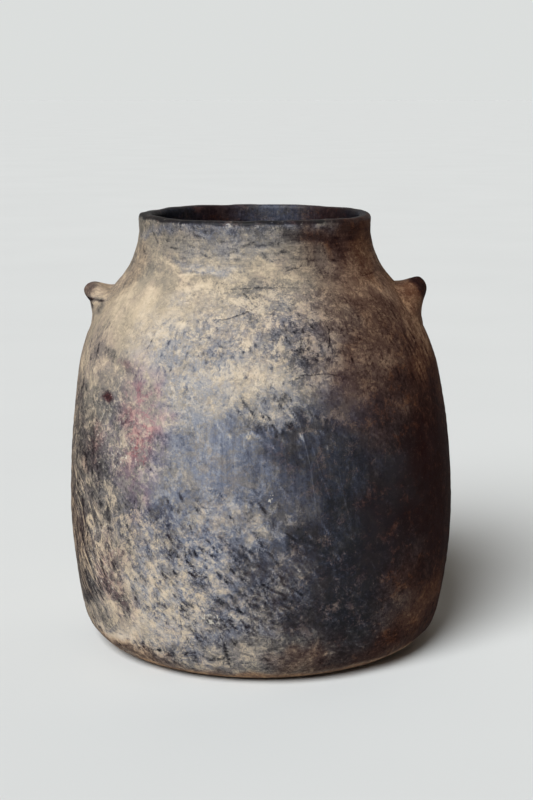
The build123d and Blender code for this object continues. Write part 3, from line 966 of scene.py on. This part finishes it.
# Colours of the clay from bare at 0 to black with smoke at 1, each with its 0-255 display values
PINK_TAN = (
    (0, 208, 188, 164), (0.22, 194, 174, 152), (0.4, 164, 147, 132), (0.55, 132, 121, 114),
    (0.7, 95, 87, 85), (0.85, 58, 54, 55), (1, 31, 29, 30),
)
OLIVE_TAN = (
    (0, 206, 188, 162), (0.22, 189, 171, 147), (0.4, 158, 145, 127), (0.55, 128, 120, 109),
    (0.7, 92, 88, 83), (0.85, 58, 55, 54), (1, 31, 30, 30),
)
# Blue-grey smoke, partly a painted sheen
BLUE_SMOKE_AND_SHEEN = (
    (0, 204, 193, 179), (0.25, 178, 171, 165), (0.42, 142, 144, 151), (0.58, 106, 111, 126),
    (0.72, 70, 74, 88), (0.88, 40, 43, 54), (1, 20, 21, 28),
)
# Brown smoke, made more saturated to stand partly for painted warm bounce light
BROWN_SMOKE_AND_BOUNCE = (
    (0, 200, 168, 134), (0.25, 168, 130, 97), (0.45, 124, 93, 71), (0.62, 93, 62, 44),
    (0.8, 65, 37, 26), (1, 32, 10, 8),
)
RED_SMOKE = (
    (0.2, 181, 126, 125), (0.5, 148, 91, 92), (0.7, 96, 56, 56), (0.9, 52, 32, 34),
)
PLUM = linear(72, 58, 60)
CRUST = linear(202, 194, 180)

# Noises of the clay, all of which swing about nought: scale, detail, roughness and distortion
CLOUD = (24, 4, 0.6, 0.6)
HUE = (22, 6, 0.8, 0.4)
MOTTLE = (46, 7, 1.0, 0.25)
TINT = (80, 6, 0.95, 0.3)
FLECK = (230, 5, 0.8, 0.4)
SPECK = (400, 3, 0.7, 0.3)
VEIN = (105, 3, 0.7, 0.9)
ROUND_FLAKE = (76, 8, 0.9, 0.3)
# Noises along the slanting streaks
STREAK = (1.1, 5, 0.9, 0.6)
WORM = (0.9, 3, 0.7, 0.9)
LONG_FLAKE = (0.45, 8, 0.88, 0.8)
LONG_FLAKE_SCALE = (1, 1, 2)
# Noises along level wiping and upright burnishing
WIPE = (1.0, 5, 0.85, 0.4)
WIPE_SCALE = (26, 26, 300)
BRUSH = (1.0, 4, 0.85, 0.3)
BRUSH_SCALE = (300, 300, 24)

# Values over which each comes in, and the shares before and after where these aren't 0 and 1
FLAKE_EDGE = (0.014, 0.036)
SPECK_EDGE = (0.04, 0.16)
DARK_SPECK_EDGE = (-0.16, -0.04, 1, 0)
CRACK_EDGE = (0.1, 0.6, 1, 0)  # mm
WORM_EDGE = (0.006, 0.03, 1, 0)
VEIN_EDGE = (0.004, 0.022, 1, 0)
VEIN_SHIFT = 0.03
CRUST_EDGE = (0.27, 0.33)
STREAKY = (0.2, 0.8)
SPARSE = (0.6, 0.9, 0, 0.04)  # flakes are rarer where there is more soot
WARM = (0.6, 0.9, 0, 0.4)  # and browner
OLIVE = (-0.2, 0.06)
PLUM_SMOKE = (0.45, 0.7)
WORN_BLUE = (0, 0.6, 1, 0.2)
# Fine noise that breaks up the marks, in the same form
STROKE_GRAIN = (-0.14, 0.08, 0, 1.6)
CRACK_GRAIN = (-0.14, 0.06, 0.35, 1)
WORM_GRAIN = (-0.1, 0.06)
VEIN_GRAIN = (-0.04, 0.06)
BLUE_GRAIN = (-0.08, 0.06, 0.35, 1.15)
RED_GRAIN = (-0.06, 0.06, 0.1, 1)
PLUM_GRAIN = (-0.05, 0.06, 0, 0.5)

# How far a crack wanders in mm, with mottle and flecks, and how dark it is where it wanders in full
CRACK_WANDER = (4.5, 2.0)
CRACK_FULL = (0, 0.2)
FLAKE_SHARE = 0.32  # of the surface, on average
CRUST_GAIN = 0.25
CRUST_OPACITY = 0.75
ROUGH = (0.86, 0.62)  # plain, and burnished
ROUGH_SWING = 0.2
COAT = (0.35, 0.7, 0.05, 0.3)  # smoke over which a burnished coat comes in, and its weights
COAT_ROUGH = 0.42
SPECULAR = 0.04
BUMP_STRENGTH = 0.8
BUMP_DEPTH = 0.8 * MM


def smoked_clay(name):
    """Tan clay under a smoke film that is rubbed, pitted and worn through, as the marks say."""
    g = Graph(name)
    along_streaks = g.attribute("streak_place", "Vector")
    cloud, hue, mottle, tint, fleck, speck, vein, round_flake = (
        g.noise(g.place, *recipe) for recipe in (CLOUD, HUE, MOTTLE, TINT, FLECK, SPECK, VEIN, ROUND_FLAKE)
    )
    streak = g.noise(along_streaks, *STREAK)
    worm = g.noise(along_streaks, *WORM)
    long_flake = g.noise(g.scaled(along_streaks, LONG_FLAKE_SCALE), *LONG_FLAKE)
    wipe = g.noise(g.scaled(g.place, WIPE_SCALE), *WIPE)
    brush = g.noise(g.scaled(g.place, BRUSH_SCALE), *BRUSH)
    soot_and_shading, burnished, mottled, streaked, scraped, worn, crack_depth = (
        g.attribute(mark)
        for mark in ("soot_and_shading", "burnished", "mottled", "streaked", "scraped", "worn", "crack_depth")
    )

    rubbed = g.times(g.attribute("strokes"), g.between(fleck, *STROKE_GRAIN))
    by_mottle, by_fleck = CRACK_WANDER
    wander = g.sum_of((mottle, by_mottle), (fleck, by_fleck))
    wander = g.times(g.between(crack_depth, *CRACK_FULL), wander)
    line = g.math("ABSOLUTE", g.total(g.attribute("crack_offset"), wander))
    crack = g.times(g.between(line, *CRACK_EDGE), crack_depth, g.between(fleck, *CRACK_GRAIN))
    line = g.math("ABSOLUTE", worm)
    worms = g.times(g.between(line, *WORM_EDGE), g.between(fleck, *WORM_GRAIN))
    line = g.math("ABSOLUTE", g.total(vein, VEIN_SHIFT))
    veins = g.times(g.between(line, *VEIN_EDGE), g.between(tint, *VEIN_GRAIN))
    sparse = g.between(soot_and_shading, *SPARSE)
    flakes = g.total(
        g.times(g.between(streaked, *STREAKY, 1, 0), g.between(g.less(round_flake, sparse), *FLAKE_EDGE)),
        g.times(g.between(streaked, *STREAKY), g.between(g.less(long_flake, sparse), *FLAKE_EDGE)),
    )
    between_flakes = g.less(FLAKE_SHARE, flakes)
    specks = g.less(g.between(speck, *DARK_SPECK_EDGE), g.between(speck, *SPECK_EDGE))
    # Where smoke is added or taken, by what, and how much
    cover = g.sum_of(
        (soot_and_shading,),
        (mottled, cloud, 0.3),
        (mottled, mottle, 0.6),
        (mottled, fleck, 0.35),
        (mottled, specks, 0.13),
        (mottled, veins, 0.08),
        (mottled, between_flakes, 0.2),
        (worn, between_flakes, 0.24),
        (streaked, streak, 1.0),
        (streaked, worms, -0.2),
        (scraped, wipe, 0.5),
        (burnished, brush, 0.4),
        (crack, 0.42),
        (rubbed,),
    )
    # Where the surface stands out or in, by what, and how far
    relief = g.sum_of(
        (mottled, mottle, 1.6),
        (streaked, streak, -0.8),
        (streaked, worms, 0.2),
        (scraped, wipe, -1.2),
        (fleck, 1.2),
        (rubbed, -0.8),
        (crack, -0.7),
        (veins, -0.12),
        (flakes, -0.12),
    )

    colour = g.mix(g.between(hue, *OLIVE), g.ramp(cover, PINK_TAN), g.ramp(cover, OLIVE_TAN))
    # blue-grey tint: partly the smoke's own colour, partly painted sheen
    blue = g.times(g.attribute("blue"), g.between(tint, *BLUE_GRAIN))
    blue = g.times(blue, g.between(g.times(flakes, worn), *WORN_BLUE))
    colour = g.mix(blue, colour, g.ramp(cover, BLUE_SMOKE_AND_SHEEN))
    # brown: partly the smoke's own colour, partly painted warm bounce light
    brown = g.total(g.attribute("brown"), g.times(flakes, g.between(soot_and_shading, *WARM)))
    colour = g.mix(brown, colour, g.ramp(cover, BROWN_SMOKE_AND_BOUNCE))
    plum = g.times(streaked, g.between(hue, *PLUM_GRAIN), g.between(cover, *PLUM_SMOKE))
    colour = g.mix(plum, colour, PLUM)
    red = g.times(g.attribute("red"), g.between(tint, *RED_GRAIN))
    colour = g.mix(red, colour, g.ramp(cover, RED_SMOKE))
    crust = g.between(g.total(speck, g.times(g.attribute("crusted"), CRUST_GAIN)), *CRUST_EDGE)
    colour = g.mix(g.times(crust, CRUST_OPACITY), colour, CRUST)

    bump = g.node("ShaderNodeBump")
    g.feed(bump, {"Strength": BUMP_STRENGTH, "Distance": BUMP_DEPTH, "Height": relief})
    g.feed(g.shader, {
        "Base Color": colour,
        "Roughness": g.total(g.between(burnished, 0, 1, *ROUGH), g.times(fleck, ROUGH_SWING)),
        "Specular IOR Level": SPECULAR,
        "Coat Weight": g.times(burnished, g.between(cover, *COAT)),
        "Coat Roughness": COAT_ROUGH,
        "Normal": bump.outputs["Normal"],
    })
    return g.material


FLOOR_TONES = (linear(214, 215, 214), linear(220, 221, 220))
FLOOR_CLOUD = (3, 3, 0.5, 0)
FLOOR_ROUGH = 0.9


def floor_material():
    g = Graph("pale_floor")
    tone = g.mix(g.total(g.noise(g.place, *FLOOR_CLOUD), 0.5), *FLOOR_TONES)
    g.feed(g.shader, {"Base Color": tone, "Roughness": FLOOR_ROUGH, "Specular IOR Level": 0})
    return g.material


# Jar: one grid of points, from which each course takes its rows
rows, wall_rows, outside, inside = section_rows()
bearings = np.linspace(-math.pi, math.pi, AROUND, endpoint=False)
row_of_point = np.repeat(rows, AROUND, axis=0)
bearing_of_point = np.tile(bearings, len(rows))
true_points = place(row_of_point[:, 0], bearing_of_point, row_of_point[:, 1])
true_outward = place(row_of_point[:, 2], bearing_of_point, row_of_point[:, 3])
jar_points = uneven(true_points, true_outward)
jar_points[:, 2] = np.maximum(jar_points[:, 2], 0)
jar_normals = grid_normals(jar_points, len(rows), AROUND, closed=True)
jar_marks = outside_marks(bearing_of_point, true_points)
lip_row = outside[-1][1] - LIP_STEPS // 2
paint_inside(jar_marks, bearing_of_point, lip_row * AROUND)
strokes = np.zeros((len(rows), AROUND))
strokes[wall_rows] = rubbed_strokes(rows[wall_rows, 1] / MM, rows[wall_rows, 0] / MM)
jar_marks["strokes"] = strokes.ravel()

# Both slots have the same clay, and the marks say where it is bare or smoked
SMOKED = "smoked_earthenware"
BARE = "bare_earthenware"
clays = {slot: smoked_clay(slot) for slot in (SMOKED, BARE)}
for course, outside_rows, inside_rows in zip(COURSES, outside, inside):
    slot = BARE if course == COURSES[0] else SMOKED
    course_piece(course, jar_points, jar_normals, jar_marks, outside_rows, inside_rows, slot)
lug_piece("left_lug", -1, LEFT_LUG, BARE)
lug_piece("right_lug", 1, RIGHT_LUG, BARE)

# Stage
FLOOR_HALF = 60.0
floor_corners = [(x * FLOOR_HALF, y * FLOOR_HALF, 0) for x, y in ((-1, -1), (1, -1), (1, 1), (-1, 1))]
floor_mesh = bpy.data.meshes.new("floor")
floor_mesh.from_pydata(floor_corners, [], [(0, 1, 2, 3)])
floor_mesh.materials.append(floor_material())
floor_object = add_object("floor", floor_mesh)


# Light: a broad cool light from the front left, a dim warm one from behind, and a dim warm surround.
# The surround is as pale as the lit floor at the horizon, so that the floor's end doesn't show.
def sun(name, bearing, elevation, spread, power, colour):
    data = bpy.data.lights.new(name, "SUN")
    data.energy = power
    data.color = colour
    data.angle = math.radians(spread)
    lamp = add_object(name, data)
    lamp.rotation_euler = (math.pi / 2 - math.radians(elevation), 0, math.radians(bearing))


sun("window", bearing=-30, elevation=43, spread=34, power=4.3, colour=(0.96, 0.985, 1.0))
sun("bounce", bearing=165, elevation=32, spread=80, power=0.6, colour=(1.0, 0.93, 0.84))

# Colours of the surround, with the heights of the directions between which they change
SURROUND = ((0.092, linear(219.5, 222.0, 220.8)), (0.14, linear(42, 37, 32)))
world = bpy.data.worlds.new("surround")
world.use_nodes = True
tree = world.node_tree
direction = tree.nodes.new("ShaderNodeTexCoord")
parts = tree.nodes.new("ShaderNodeSeparateXYZ")
sky = tree.nodes.new("ShaderNodeValToRGB")
for element, (height, colour) in zip(sky.color_ramp.elements, SURROUND):
    element.position = height
    element.color = colour
tree.links.new(direction.outputs["Generated"], parts.inputs["Vector"])
tree.links.new(parts.outputs["Z"], sky.inputs["Fac"])
tree.links.new(sky.outputs["Color"], tree.nodes["Background"].inputs["Color"])
bpy.context.scene.world = world
bpy.context.scene.view_settings.view_transform = "Standard"

# Camera, as the outline of the photograph places it
CAMERA_PLACE = (3.7 * MM, -1111 * MM, 383 * MM)
CAMERA_PITCH = math.radians(10.97)
FOCAL_PIXELS = 1600
IMAGE_HEIGHT = 800
SENSOR = 36
camera_data = bpy.data.cameras.new("camera")
camera_data.sensor_width = SENSOR
camera_data.lens = SENSOR * FOCAL_PIXELS / IMAGE_HEIGHT
camera = add_object("camera", camera_data)
camera.location = CAMERA_PLACE
camera.rotation_euler = (math.pi / 2 - CAMERA_PITCH, 0, 0)
bpy.context.scene.camera = camera
